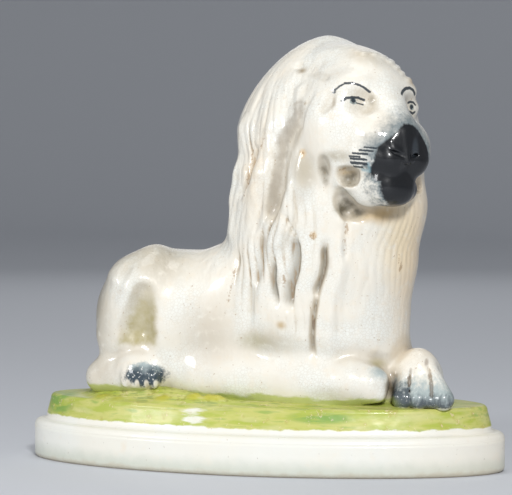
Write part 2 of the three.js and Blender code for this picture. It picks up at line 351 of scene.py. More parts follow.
add(ellipsoid([52, -14, 247], [16, 14, 9]), 8, 225, 270)
FRINGE = np.array([(58, -19, 254), (64, -26, 252), (70, -28.5, 250.7), (78, -23, 249), (83, -21, 245.7), (88, -19.5, 240.7),
                   (93, -17.5, 235)], float)
for share in np.linspace(0, 1, 10):
    curl = [np.interp(share * 6, range(7), FRINGE[:, axis]) for axis in range(3)]
    wide = 3.1 + 0.5 * math.sin(41 * share)
    add(ellipsoid(curl, [wide, wide + 3, 2.1 + 0.4 * math.sin(57 * share)]), 1.5, 225, 270)
CHEEK_EDGE = [(41.5, -49.5, 227, 1.8), (36.5, -49.5, 218, 2.6), (34.5, -48.5, 209, 3), (29, -47, 203, 4),
              (24, -47, 195, 5.5), (21.5, -47.5, 184, 6.5), (20, -47, 172, 6.5), (17.5, -46, 162, 5.5), (16.5, -45.5, 157, 4)]
TEMPLE = [(28.5, -25.5, 244.5, 2.5), (38, -35.5, 241.5, 2.5), (50, -46, 237.5, 1.5)]
carve(chain(CHEEK_EDGE), 3, 140, 245)
CHEEK_CREASE = [(38.8, -44.5, 222, 1.4), (38.5, -44.8, 216, 1.8), (36, -42, 210.5, 1.8), (32.5, -39.5, 206, 1.8),
                (27.8, -37.6, 199.7, 1.8), (26, -37.5, 193.8, 1.8), (25.3, -38.8, 181, 1.8), (23.3, -39, 171, 1.8), (21, -40, 160, 1.2)]
carve(chain(TEMPLE), 3, 225, 255)
add(chain([(34, -36, 228, 4), (34.5, -38.5, 221, 4.8), (31, -38, 213.5, 4.3), (26, -36, 208, 3)]), 3, 195, 240)
add(ellipsoid([37, -41, 180], [9, 10, 17]), 4, 155, 205)
print(f"{len(forms)} forms in the animal")


# %% [markdown]
# ## From distance to skin
# The skin is where the distance is zero. It is looked for on a grid whose lines lie closer together
# round the head and on the side that is seen, and further apart behind. A coarse grid first finds
# which part of the space is near the skin, so that most of the work is skipped. In each grid cell
# that the skin crosses, one point is set at the middle of its crossings, and each crossed grid line
# gets a face between the four cells round it.

# %% The animal's distance
def animal(x, y, z):
    """Distance to the whole animal, for arrays of places in millimetres."""
    total = np.full(x.shape, 1e3)
    for join, form, reach, lowest, highest in forms:
        near = (z >= lowest) & (z <= highest)
        if near.all():
            total = join(total, form(x, y, z), reach)
        elif near.any():
            total[near] = join(total[near], form(x[near], y[near], z[near]), reach)
    return np.maximum(total, ANIMAL_BOTTOM - z)


# %% A grid with uneven spacing
def spaced(stops):
    """Grid lines from (place, spacing) stops: the spacing changes evenly from one stop to the next."""
    places, steps = np.array(stops, float).T
    fine = np.linspace(places[0], places[-1], 4000)
    count = np.cumsum(1 / np.interp(fine, places, steps)) * (fine[1] - fine[0])
    return np.interp(np.arange(0, int(count[-1])), count, fine)


GRAIN = 1.0
lines_x = spaced([(-118, 1.9 * GRAIN), (-20, 1.4 * GRAIN), (20, 1.1 * GRAIN), (130, 1.15 * GRAIN)])
lines_y = spaced([(-68, 1.15 * GRAIN), (-10, 1.4 * GRAIN), (10, 2.5 * GRAIN), (60, 2.5 * GRAIN)])
lines_z = spaced([(30, 1.6 * GRAIN), (130, 1.5 * GRAIN), (160, 1.15 * GRAIN), (268, 1.1 * GRAIN)])
print("grid", len(lines_x), len(lines_y), len(lines_z))


# %% Distances on the grid
COARSE = 4
BAND = 14


def sampled(field, axes):
    """The field on a grid, worked out finely only where a coarse look says that the skin is near."""
    coarse_axes = [np.append(axis[::COARSE], axis[-1]) for axis in axes]
    coarse = field(*(part.ravel() for part in np.meshgrid(*coarse_axes, indexing="ij")))
    coarse = coarse.reshape([len(axis) for axis in coarse_axes])
    nearest = [np.round(np.interp(axis, coarse_axis, np.arange(len(coarse_axis)))).astype(int)
               for axis, coarse_axis in zip(axes, coarse_axes)]
    values = coarse[np.ix_(*nearest)]
    near = np.abs(values) < BAND
    index = np.nonzero(near)
    values[near] = field(*(axis[part] for axis, part in zip(axes, index)))
    return values


# %% The skin of a field
def skin(values, axes):
    """Points and four-cornered faces of the surface where the gridded values pass through zero."""
    inside = values < 0
    shape = np.array(values.shape) - 1
    corners = [tuple(slice(o, o + n) for o, n in zip(offset, shape)) for offset in np.ndindex(2, 2, 2)]
    filled = sum(inside[corner].astype(np.int8) for corner in corners)
    cells = np.argwhere((filled > 0) & (filled < 8))
    number = np.full(shape, -1)
    number[tuple(cells.T)] = np.arange(len(cells))
    total = np.zeros((len(cells), 3))
    count = np.zeros(len(cells))
    for axis in range(3):
        step = np.eye(3, dtype=int)[axis]
        others = [a for a in range(3) if a != axis]
        for offset in np.ndindex(2, 2):
            start = cells.copy()
            start[:, others] += offset
            a, b = values[tuple(start.T)], values[tuple((start + step).T)]
            crossed = (a < 0) != (b < 0)
            share = np.where(crossed, a / np.where(crossed, a - b, 1), 0)
            place = np.stack([axes[d][start[:, d]] for d in range(3)], axis=1)
            place[:, axis] += share * (axes[axis][start[:, axis] + 1] - axes[axis][start[:, axis]])
            total += np.where(crossed[:, None], place, 0)
            count += crossed
    points = total / count[:, None]
    faces = []
    for axis in range(3):
        step = np.eye(3, dtype=int)[axis]
        u, w = np.eye(3, dtype=int)[(axis + 1) % 3], np.eye(3, dtype=int)[(axis + 2) % 3]
        first = inside[tuple(slice(1, n) if s == 0 else slice(0, n) for s, n in zip(step, shape))]
        second = inside[tuple(slice(1, n) if s == 0 else slice(1, n + 1) for s, n in zip(step, shape))]
        spots = np.argwhere(first != second) + (1 - step)
        ring = np.stack([number[tuple((spots - back).T)] for back in (u * 0, u, u + w, w)], axis=1)
        outward = inside[tuple(spots.T)]
        faces.append(np.where(outward[:, None], ring, ring[:, ::-1]))
    return points, np.concatenate(faces)


# %% Settle the points on the skin
def slope_of(field, points, step=0.4):
    """The field's slope at each point, from six small steps."""
    slopes = []
    for axis in range(3):
        shift = np.zeros(3)
        shift[axis] = step
        slopes.append(field(*(points + shift).T) - field(*(points - shift).T))
    return np.stack(slopes, axis=1) / (2 * step)


def settle(field, points, rounds=3):
    """Moves each point down the slope until it lies on the skin, and gives the outward direction too."""
    for _ in range(rounds):
        slope = slope_of(field, points)
        steep = np.maximum((slope ** 2).sum(axis=1), 0.05)
        step = np.clip(field(*points.T) / steep, -1, 1)
        points = points - slope * step[:, None]
    slope = slope_of(field, points)
    return points, slope / np.linalg.norm(slope, axis=1)[:, None]


axes = (lines_x, lines_y, lines_z)
points, faces = skin(sampled(animal, axes), axes)
points, outward = settle(animal, points)
print(f"skin of the animal: {len(points)} points, {2 * len(faces)} triangles")

# %% [markdown]
# ## The base
# The base is an oval plinth: an upright foot, a small cove, and a green slab whose top rises to a low
# grassy mound under the animal. It is one profile carried round an oval, each ring drawn in evenly.

# %% Base
BASE_LENGTH, BASE_DEPTH = 300, 128
OVAL_POWER = 1.88
FOOT_HEIGHT, COVE_HEIGHT, RIM_HEIGHT = 24, 28, 40
COVE_INSET, RIM_INSET, FLAT_INSET = 8.2, 10.6, 62
MOUND_LEVELS = [(-150, 41), (-118, 43.5), (-100, 51), (-80, 50.5), (-58, 49), (-35, 46), (-5, 42.8), (40, 42.2),
                (85, 42.3), (105, 41.2), (150, 41)]  # place along X, height of the mound
CLUMPS = [(-33, -41, 3.2, 4.5, 3), (-20, -42, 3.5, 8, 3), (-53, -42, 2.2, 6, 3), (-96, -33, 2.6, 8, 4),
          (-84, -37, 1.6, 5, 3)]  # place along X and Y, height, half length and half depth of a grass clump


def arc(centre, radius, start, end, steps):
    """Points on an arc of the profile, as (inset, height) pairs, by angles in degrees."""
    angle = np.radians(np.linspace(start, end, steps))
    return np.stack([centre[0] + radius * np.cos(angle), centre[1] + radius * np.sin(angle)], axis=1)


def base_profile():
    """Insets and heights from the middle of the underside up the side and over the mound."""
    under = np.stack([np.linspace(FLAT_INSET, 3, 12), np.zeros(12)], axis=1)
    foot = np.stack([np.zeros(10), np.linspace(3, FOOT_HEIGHT - 4, 10)], axis=1)
    shoulder = arc((4, FOOT_HEIGHT - 4), 4, 180, 90, 8)
    cove = np.array([[COVE_INSET - 1.6, FOOT_HEIGHT + 0.3], [COVE_INSET - 0.3, FOOT_HEIGHT + 1.5]])
    share = np.linspace(0, 1, 8)
    slab = np.stack([COVE_INSET + share * (RIM_INSET - COVE_INSET),
                     COVE_HEIGHT + share * (RIM_HEIGHT - 3 - COVE_HEIGHT)], axis=1)
    rim = arc((RIM_INSET + 3, RIM_HEIGHT - 3), 3, 170, 95, 7)
    inset = RIM_INSET + 3 + np.linspace(0.05, 1, 26) * (FLAT_INSET - RIM_INSET - 3)
    mound = np.stack([inset, np.full(26, RIM_HEIGHT)], axis=1)
    return np.concatenate([under, arc((3, 3), 3, 270, 185, 6), foot, shoulder, cove, slab, rim, mound])


def raised(points):
    """Lifts the points that lie inside the rim to the mound's height at their place along the base."""
    top = np.interp(points[..., 0], *np.array(MOUND_LEVELS, float).T)
    reach = (points[..., 0] / (BASE_LENGTH / 2 - RIM_INSET)), points[..., 1] / (BASE_DEPTH / 2 - RIM_INSET)
    inward = 1 - (np.abs(reach[0]) ** OVAL_POWER + np.abs(reach[1]) ** OVAL_POWER) ** (1 / OVAL_POWER)
    lift = (top - RIM_HEIGHT) * ease(inward, 0.05, 0.3)
    for middle_x, middle_y, height, half_length, half_depth in CLUMPS:
        gap = ((points[..., 0] - middle_x) / half_length) ** 2 + ((points[..., 1] - middle_y) / half_depth) ** 2
        lift = lift + height * np.exp(-gap ** 1.5) * (0.8 + 0.2 * np.sin(points[..., 0] * 2.1 + points[..., 1]))
    above = points[..., 2] > RIM_HEIGHT - 1e-6
    return np.concatenate([points[..., :2], (points[..., 2] + lift * above)[..., None]], axis=-1)


def oval_rings(profile, around):
    """The profile carried round the oval: half sizes less the inset, to the oval's own power."""
    turn = np.linspace(0, 2 * math.pi, around, endpoint=False)
    along = np.sign(np.cos(turn)) * np.abs(np.cos(turn)) ** (2 / OVAL_POWER)
    across = np.sign(np.sin(turn)) * np.abs(np.sin(turn)) ** (2 / OVAL_POWER)
    inset = profile[:, :1]
    x = (BASE_LENGTH / 2 - inset) * along
    y = (BASE_DEPTH / 2 - inset) * across
    z = np.repeat(profile[:, 1:], around, axis=1)
    return np.stack([x, y, z], axis=2)


def ring_faces(rows, columns):
    """Faces between neighbouring rings."""
    row, column = np.meshgrid(np.arange(rows - 1), np.arange(columns), indexing="ij")
    after = (column + 1) % columns
    return np.stack([row * columns + column, row * columns + after,
                     (row + 1) * columns + after, (row + 1) * columns + column], axis=-1).reshape(-1, 4)


profile = base_profile()
rings = raised(oval_rings(profile, 360))
base_points = rings.reshape(-1, 3)
around = rings.shape[1]
base_faces = ring_faces(*rings.shape[:2]).tolist()
base_faces.append(list(range(around))[::-1])
base_faces.append(list(range(len(base_points) - around, len(base_points))))
print(f"base: {len(base_points)} points")

# %% [markdown]
# ## Shader arithmetic
# A glaze is made of many small decisions: how deep the hollow is, how far a brush stroke is, how high
# above the ground. Wiring them by hand hides the thought, so a socket is wrapped in a small class and
# the decisions are written as sums. Whatever isn't a sum goes through one method that adds any node.

# %% A socket that can be added and multiplied
class Value:
    """A socket of one material: arithmetic on it adds Math nodes, and node() adds any other node."""

    def __init__(self, tree, socket):
        self.tree, self.socket = tree, socket

    def node(self, kind, settings, inputs, output=0):
        made = self.tree.nodes.new(kind)
        for name, setting in settings.items():
            setattr(made, name, setting)
        for key, value in inputs.items():
            if isinstance(value, Value):
                self.tree.links.new(value.socket, made.inputs[key])
            else:
                made.inputs[key].default_value = value
        return Value(self.tree, made.outputs[output])

    def math(self, operation, *values):
        return self.node("ShaderNodeMath", {"operation": operation}, dict(enumerate(values)))

    def __add__(self, other):
        return self.math("ADD", self, other)

    def __sub__(self, other):
        return self.math("SUBTRACT", self, other)

    def __rsub__(self, other):
        return self.math("SUBTRACT", other, self)

    def __mul__(self, other):
        return self.math("MULTIPLY", self, other)

    def __truediv__(self, other):
        return self.math("DIVIDE", self, other)

    __radd__ = __add__
    __rmul__ = __mul__


# %% Small tools for a glaze
def shift(value, operation, *others):
    """Vector Math on a place: subtract, scale, dot product or length."""
    output = 1 if operation in ("LENGTH", "DOT_PRODUCT", "DISTANCE") else 0
    keys = [3] if operation == "SCALE" else range(1, 1 + len(others))
    return value.node("ShaderNodeVectorMath", {"operation": operation}, {0: value, **dict(zip(keys, others))}, output)


def ramp(value, start, end):
    """Rises smoothly from 0 at start to 1 at end, or falls where start is the larger."""
    return value.node("ShaderNodeMapRange", {"interpolation_type": "SMOOTHSTEP"},
                      {0: value, 1: start, 2: end, 3: 0.0, 4: 1.0})


def blend(mask, under, over):
    """The colour over laid on the colour under, as much as the mask says."""
    return mask.node("ShaderNodeMix", {"data_type": "RGBA"}, {0: mask, 6: under, 7: over}, 2)


def grain(place, size, detail=2.0, stretch=(1, 1, 1), roughness=0.5):
    """Noise from 0 to 1 with features of the given size in millimetres, stretched along the axes."""
    scaled = place.node("ShaderNodeVectorMath", {"operation": "MULTIPLY"},
                        {0: place, 1: [1 / (size * factor) for factor in stretch]})
    return place.node("ShaderNodeTexNoise", {}, {"Vector": scaled, "Scale": 1.0, "Detail": detail,
                                                 "Roughness": roughness})


def patch(place, centre, radii):
    """1 at the centre, 0 on the edge of an oval patch and below 0 outside it."""
    offset = place.node("ShaderNodeVectorMath", {"operation": "SUBTRACT"}, {0: place, 1: centre})
    scaled = place.node("ShaderNodeVectorMath", {"operation": "DIVIDE"}, {0: offset, 1: radii})
    return 1 - shift(scaled, "LENGTH")


def largest(values):
    """The largest of several masks."""
    total = values[0]
    for value in values[1:]:
        total = total.math("MAXIMUM", total, value)
    return total


def stroke(place, stops, width):
    """How far inside a brush line through the stops a place is, in millimetres; below 0 outside it."""
    nearest = None
    for start, end in zip(stops, stops[1:]):
        start, end = np.array(start, float), np.array(end, float)
        along = end - start
        offset = shift(place, "SUBTRACT", start.tolist())
        share = shift(offset, "DOT_PRODUCT", (along / (along @ along)).tolist())
        share = share.math("MINIMUM", share.math("MAXIMUM", share, 0.0), 1.0)
        foot = offset.node("ShaderNodeVectorMath", {"operation": "SCALE"}, {0: along.tolist(), 3: share})
        gap = shift(offset, "DISTANCE", foot)
        nearest = gap if nearest is None else gap.math("MINIMUM", nearest, gap)
    return width - nearest


def new_glaze(name):
    """A material with its shader, the place in millimetres and its three parts."""
    material = bpy.data.materials.new(name)
    material.use_nodes = True
    tree = material.node_tree
    shader = tree.nodes["Principled BSDF"]
    metres = Value(tree, tree.nodes.new("ShaderNodeTexCoord").outputs["Object"])
    place = shift(metres, "SCALE", 1 / MM)
    parts = [place.node("ShaderNodeSeparateXYZ", {}, {0: place}, axis) for axis in range(3)]
    return material, shader, place, parts


def link(value, shader, socket):
    value.tree.links.new(value.socket, shader.inputs[socket])


# %% [markdown]
# ## The glaze on the animal
# The body is cream earthenware under a clear lead glaze. Where the glaze is thick, in the hollows, it
# turns a cold bluish white; where it runs thin it stays warm. The hollows and the bottoms of the grooves
# are darkened with painted shade, mixed with the brown of iron and dirt. The hollows are known from the
# distance field itself: a place 3 mm above a hollow is nearer than 3 mm to some other bit of skin. That
# depth is stored at every point.

# %% Hollows
def hollow_depth(field, points, outward, reach):
    """How much nearer than reach the skin comes, seen from reach above each point, from 0 to 1."""
    return np.clip(1 - field(*(points + reach * outward).T) / reach, 0, 1)


def groove_depth(points):
    """How deep the mane's own lines and strands are at each point, from 0 to 1."""
    u, v, reach_x, reach_y, radius = mane_place(*points.T)
    angle = np.arctan2(v, u)
    near = np.exp(-((mane(*points.T) / 2.5) ** 2))
    return line_depth(angle, radius, points[:, 2])[0] * near / 5, strand_depth(angle, points[:, 2]) * near / 3


def store(piece, name, values):
    attribute = piece.data.attributes.new(name, "FLOAT", "POINT")
    attribute.data.foreach_set("value", values.astype(np.float32))


# %% Colours
CREAM = (0.80, 0.755, 0.66, 1)
COLD_WHITE = (0.81, 0.81, 0.755, 1)
WARM = (0.79, 0.645, 0.46, 1)
BISQUE = (0.56, 0.50, 0.405, 1)
EARTH = (0.34, 0.26, 0.16, 1)
EARTH_PALE = (0.46, 0.41, 0.31, 1)
OCHRE = (0.50, 0.34, 0.14, 1)
HONEY = (0.80, 0.64, 0.38, 1)
BEIGE = (0.50, 0.42, 0.30, 1)
RUST = (0.33, 0.19, 0.07, 1)
UMBER = (0.15, 0.13, 0.09, 1)
BROWN = (0.16, 0.09, 0.045, 1)
OLIVE = (0.43, 0.375, 0.20, 1)
SLATE = (0.025, 0.048, 0.068, 1)
SLATE_PALE = (0.36, 0.43, 0.43, 1)
INK = (0.015, 0.025, 0.035, 1)
BLACK = (0.006, 0.007, 0.009, 1)
GRASS = (0.42, 0.48, 0.085, 1)
EMERALD = (0.20, 0.36, 0.07, 1)

# %% The animal's glaze
lion_glaze, shader, place, (x, y, z) = new_glaze("lion glaze")
forward, across, up = to_head(x, y, z)
face = place.node("ShaderNodeCombineXYZ", {}, {0: across, 1: up, 2: 0.0})
cheek = place.node("ShaderNodeCombineXYZ", {}, {0: forward, 1: up, 2: 0.0})
hollow, shade, groove, strand = (place.node("ShaderNodeAttribute", {"attribute_name": name}, {}, 2)
                                 for name in ("hollow", "shade", "groove", "strand"))

cloud = grain(place, 26, 3)
mottle = grain(place, 5, 4)
streak = grain(place, 3.2, 3, (1, 1, 4))
speck = grain(place, 1.5, 2)

colour = blend(ramp(cloud, 0.35, 0.65), list(CREAM), list(COLD_WHITE))
colour = blend(ramp(mottle, 0.50, 0.75) * 0.2, colour, list(WARM))
# Painted shade: the broad and the small hollows, the mane's lines and the valleys between strands are darkened, and the
# lines also hold brown dirt.
colour = blend(ramp(shade, 0.06, 0.5) * 0.5, colour, list(BEIGE))
colour = blend(ramp(hollow, 0.05, 0.5) * 0.4, colour, list(BEIGE))
colour = blend(ramp(groove, 0.2, 0.85) * (0.45 + streak * 0.5), colour, list(UMBER))
colour = blend(ramp(strand, 0.08, 0.45) * 0.4, colour, list(BEIGE))
crackle = place.node("ShaderNodeTexVoronoi", {"feature": "DISTANCE_TO_EDGE"}, {"Vector": place, "Scale": 0.5})
colour = blend(ramp(crackle, 0.16, 0.02) * ramp(cloud, 0.40, 0.60) * 0.22, colour, list(BEIGE))

# Stains of the glaze, and patches of painted shade where the light falls away or can't reach.
STAINS_AND_SHADES = [  # middle, half sizes, strength, colour
    # painted shade on the chest's right side, turned from the light, warm like the glaze (this and the next)
    ((98, -12, 128), (26, 36, 95), 0.95, WARM),
    ((92, -26, 142), (24, 24, 44), 0.55, HONEY),
    # painted shade under the chin, ochre in tone
    ((82, -36, 156), (24, 13, 9), 0.9, OCHRE),
    # painted shade on the rump's top and left side, where the glaze is also thin and warm (this and the next)
    ((-70, -14, 123), (44, 38, 27), 1.0, EARTH_PALE),
    ((-106, -14, 92), (38, 44, 70), 1.0, EARTH_PALE),
    ((-95, -30, 57), (22, 16, 12), 0.7, BISQUE),
    ((-26, -34, 82), (30, 14, 34), 0.75, BISQUE),
    ((58, -54, 214), (5, 6, 5), 0.6, WARM),
    ((38, -49, 183), (9, 8, 16), 0.8, BISQUE),
    # painted shade under the cheek
    ((60, -57, 190.5), (14, 8, 5.5), 0.9, EARTH_PALE),
    ((96, -17, 235), (5, 8, 8), 0.6, OCHRE),
    ((0, -40, 190), (22, 14, 60), 0.6, WARM),
    ((31, -27, 241), (5, 7, 3.5), 0.9, EARTH),
    ((42, -37, 238.5), (12, 9, 2.8), 0.5, BISQUE),
    ((58, -55.5, 222), (2.5, 6, 7), 0.5, EARTH),
    ((65, -49, 181), (8, 9, 4), 0.7, OCHRE),
    ((35, -48, 165), (8, 8, 10), 0.45, BISQUE),
    ((27, -37, 211), (4.5, 6, 5), 0.7, OCHRE),
    ((22.5, -42, 89), (5, 7, 4), 0.8, OCHRE),
    # painted shade in the hollow above the near foreleg, with olive-brown dirt
    ((10, -41, 79), (32, 14, 14), 0.75, EARTH_PALE),
    ((39, -50, 182), (12, 10, 20), 0.75, EARTH_PALE),
    ((74, -36, 247), (18, 16, 9), 0.5, EARTH_PALE),
    # painted shade in the same hollow above the foreleg, olive in tone
    ((2, -40, 78), (18, 14, 9), 0.6, OLIVE),
    ((78, -27, 66), (12, 8, 5), 0.8, OLIVE),
    # painted shade and brown in the gap between the two paws
    ((87, -28, 52), (5, 12, 16), 0.9, RUST),
]
blotch = ramp(mottle, 0.1, 0.5)
for middle, sizes, strength, tone in STAINS_AND_SHADES:
    colour = blend(ramp(patch(place, middle, sizes), 0, 1) * strength * blotch, colour, list(tone))

# Painted shade with some dirt in the hollows: the mouth's corner, under the jaw, the cheek's hollows, the band's lower
# end, the gap between the paws and the eye's inner corner. The same mask takes the coat away there.
DIRT_AND_SHADE = [
    ((66.5, -48, 177.5), (8, 10, 7), 0.9),
    ((62, -41, 159.5), (9.5, 12, 8), 1.0),
    ((68, -40, 157), (9, 10, 5), 0.9),
    ((66, -50, 169.5), (8, 8, 3), 0.4),
    ((51, -50, 181.5), (4.8, 8, 10), 0.85),
    ((18.5, -42, 166), (5, 8, 12), 0.6),
    ((15, -38, 161), (5, 7, 8), 0.5),
    ((52, -39, 127), (4, 8, 18), 0.35),
    ((19, -40, 115), (4, 8, 12), 0.35),
    ((87.5, -26, 50), (5.5, 14, 16), 0.8),
    ((80, -28, 71), (9, 14, 4), 0.25),
    ((79, -48, 223), (3, 8, 4.5), 0.4),
]
ragged = (mottle - 0.5) * 0.7
dirt_and_shade = largest([ramp(patch(place, middle, sizes) + ragged, 0, 0.9) * strength for middle, sizes, strength in DIRT_AND_SHADE])
colour = blend(dirt_and_shade * (0.6 + mottle * 0.8), colour, list(UMBER))

# The hollow of the thumb mark at the flank gets painted olive shade in three corners: inside its front, its slanting
# back and its foot. Low on the near foreleg, a softer patch is olive tint and painted shade together.
flank_back = (x + 69.1) * 0.904 - (z - 107.8) * 0.425
flank = flank_back.math("MINIMUM", flank_back, -1 * x - 57.5)
flank = flank.math("MINIMUM", flank, z - 73) + (mottle - 0.5) * 5
flank_shade = ramp(flank, -2, 4.5) * ramp(z, 116, 92) * ramp(y, -20, -28) * 0.85
under_chest = ramp(patch(place, (55, -43, 49), (22, 10, 7)), 0, 0.8) * 0.3
colour = blend(largest([flank_shade, under_chest]) * (0.6 + mottle * 0.8), colour, list(OLIVE))

# %% Painted shade at the cheek's edge, and rust in the strands
RUST_RUNS = [  # stops down the run, half width
    ([(-10, -30, 126), (-11, -32, 114), (-13, -33, 105), (-14.5, -34, 96)], 1.1),
    ([(10, -38, 206), (8.5, -39, 195)], 0.9),
    ([(2, -33, 193), (0, -33, 184), (-1, -33, 176), (-2, -34, 167)], 1.1),
    ([(63, -43, 150), (62, -43.5, 141), (62, -43.5, 133)], 0.9),
    ([(90.5, -22.5, 131), (90.7, -21, 122)], 0.9),
    ([(43, -46, 144), (43.5, -46, 142)], 1.5),
    ([(24.5, -43.5, 118), (25, -43.5, 112)], 1.3),
    ([(61, -50, 182.5), (64, -50, 184.3), (70, -51, 184)], 1.0),
]
# Painted shade: a wide stroke along the cheek's edge, a darker band in the hollow beside it, and a thin line along the
# cheek's crease, which is painted only and not carved.
edge_shade = stroke(place, [stop[:3] for stop in CHEEK_EDGE[3:]], 11)
colour = blend(ramp(edge_shade, 0, 7) * 0.5, colour, list(BEIGE))
BAND = [(36, -41, 220), (34, -42, 214), (29, -40, 208), (24, -38, 200), (22, -37, 190), (20, -37, 181), (18.5, -37.5, 172),
        (17, -37.4, 163), (16.5, -37.4, 158)]
band_shade = stroke(place, BAND, 6) + (mottle - 0.5) * 4
colour = blend(ramp(band_shade, -1, 2.5) * (0.35 + mottle * 0.7), colour, [0.38, 0.335, 0.27, 1])
crease_shade = stroke(place, [stop[:3] for stop in CHEEK_CREASE], 2.2) + (mottle - 0.5) * 2
colour = blend(ramp(crease_shade, 0, 1.8) * 0.35, colour, list(BEIGE))
SPOTS = [((43, -45, 143.5), 1.7), ((29.5, -45, 159), 1.3), ((37.5, -50, 192), 1.6)]
spots = largest([size - shift(place, "DISTANCE", spot) for spot, size in SPOTS]) + (speck - 0.5) * 2
colour = blend(ramp(spots, -2, 0.5) * 0.5, colour, [0.62, 0.38, 0.12, 1])
colour = blend(ramp(spots, 0.3, 1) * 0.8, colour, list(RUST))
runs = largest([stroke(place, stops, width) for stops, width in RUST_RUNS])
rust_run = ramp(runs + (speck - 0.5) * 6 + (streak - 0.5) * 5, -0.2, 1.2)
in_mane = ramp(z, 62, 90) * ramp(x, -40, -15)
rust = ramp(groove + strand + hollow, 0.3, 0.9) * ramp(streak, 0.50, 0.62) * in_mane
rust_speck = ramp(speck, 0.67, 0.73) * ramp(streak, 0.45, 0.6)
colour = blend(largest([rust * 0.45, rust_speck * 0.6, rust_run * 0.6]), colour, list(RUST))
# Painted shade with brown dirt in the deepest hollows, except at the front of the paws.
colour = blend(ramp(hollow, 0.45, 0.9) * 0.5 * ramp(x, 90, 84), colour, list(BROWN))

# %% The painted nose, lips and chin
edge = (mottle - 0.5) * 5 + (speck - 0.5) * 3
nose_paint = 17 * (1 - shift(shift(shift(face, "SUBTRACT", (1.5, 186, 0)), "DIVIDE", (17.3, 23.5, 1)), "LENGTH"))
lip_back = 39 + 10 * ramp(up, 180, 203)
upper = nose_paint.math("MINIMUM", nose_paint, (forward - lip_back) * 0.9)
upper = upper.math("MINIMUM", upper, 145.2 - across * 0.732 - up * 0.681)
upper = upper.math("MINIMUM", upper, up - 174.8)
chin_paint = 12 * patch(face, (-0.4, 172.5, 0), (15.7, 12.5, 1))
lower = chin_paint.math("MINIMUM", chin_paint, forward - 38.5)
paint = largest([upper, lower])
drip = grain(place, 1.7, 2, (1, 1, 5))
front_slate = ramp(z + (drip - 0.5) * 14 + (mottle - 0.5) * 6, 62, 50) * ramp(x, 84, 88) * ramp(y, -12, -20)
tip_slate = ramp(patch(place, (80, -34, 61), (9, 9, 6)) * 4 + edge * 0.5, 0, 3) * 0.85
hind_slate = ramp(patch(place, (-64, -38, 56), (16, 12, 9)) * 10 + edge * 1.2, 0, 3)
claws = largest([ramp(patch(place, (-76 + 6 * claw, -38, 50.5), (1.8, 8, 3.6)), 0, 0.5) for claw in range(4)])
feather = -2.5 - ramp(up, 184, 196) * 4
colour = blend(ramp(paint * 0.6 + edge, feather, 0.5) * 0.9, colour, [0.10, 0.14, 0.16, 1])
front_slate = front_slate * (1 - ramp(z + (speck - 0.5) * 2, 41.2, 40.2) * 0.9)
slate = largest([front_slate * 0.92, tip_slate, hind_slate * 0.98 * (1 - claws)])
front_edge = 58 - 7 * ramp(x, 97, 101)
front_thick = ramp(z - front_edge + (mottle - 0.5) * 8 + (drip - 0.5) * 8, 0, -8)
hind_thick = ramp(z + (mottle - 0.5) * 9, 64, 57) * ramp(x, -40, -50)
worn_through = 1 - ramp(drip * 0.4 + mottle * 0.6, 0.55, 0.75) * 0.6
washed = blend(largest([front_thick, hind_thick]) * worn_through, list(SLATE_PALE), list(SLATE))
# White specks in the slate: partly pale flecks in the paint and partly painted glints.
washed = blend(ramp(speck, 0.62, 0.68) * (0.2 + 0.5 * ramp(x, 0, -40)), washed, list(COLD_WHITE))
colour = blend(slate, colour, washed)
between_toes = ramp(hollow, 0.30, 0.75) * ramp(x, 86, 92) * ramp(y, -12, -20) * ramp(z, 44, 50) * ramp(z, 76, 68)
cleft_lines = largest([stroke(place, [stop[:3] for stop in stops], 0.4) for stops in CLEFTS]) + (speck - 0.5) * 4
touches = largest([patch(place, spot, (1.6, 6, 3)) for spot in ((97.8, -22, 61.5), (106.5, -20.5, 67), (109.3, -23.4, 59.5))])
touches = ramp(touches + (speck - 0.5) * 0.6, 0, 0.6)
toe_brown = largest([between_toes * 0.5, ramp(cleft_lines, -0.4, 1.0) * 0.35, touches * 0.5])
colour = blend(toe_brown, colour, list(BROWN))
# The black paint, with a painted sheen: a lighter patch on the nose's far side where a reflection lies.
black_with_sheen = blend(ramp(patch(face, (-4, 196, 0), (3.5, 8, 1)), 0, 0.7) * 0.7, list(BLACK), [0.045, 0.055, 0.065, 1])
colour = blend(ramp(paint + edge * 0.25, -0.6, 0.5), colour, black_with_sheen)

# %% Brows, eyes and whiskers
NEAR_BROW = [(31, 224.8, 0), (30.4, 226.8, 0), (28.8, 229.1, 0), (26.6, 230.9, 0), (23.4, 231.4, 0),
             (19.6, 230.4, 0), (16.8, 229, 0), (13.9, 227, 0)]
FAR_BROW = [(-6.5, 227.6, 0), (-9, 229.6, 0), (-12.5, 231.4, 0), (-16.5, 232.2, 0), (-20, 231.2, 0), (-22.4, 229, 0)]
NEAR_LID = [(29, 220.3, 0), (26.7, 222.3, 0), (23.3, 222.9, 0), (19.5, 223.1, 0), (16, 222, 0)]
NEAR_UNDER = [(20.5, 219.9, 0), (16.6, 219.2, 0)]
FAR_LID = [(-17.5, 223.4, 0), (-19.5, 224.2, 0), (-22.5, 224, 0), (-24, 222.8, 0)]
FAR_UNDER = [(-19.5, 218.3, 0), (-22, 217.4, 0), (-24, 218.5, 0)]
front = ramp(forward, 10, 14)
irises = largest([2.1 - shift(face, "DISTANCE", (22.6, 220.9, 0)), 1.9 - shift(face, "DISTANCE", (-20.8, 221.2, 0))])
colour = blend(ramp(irises, -0.2, 0.3) * front * 0.8, colour, [0.12, 0.15, 0.15, 1])
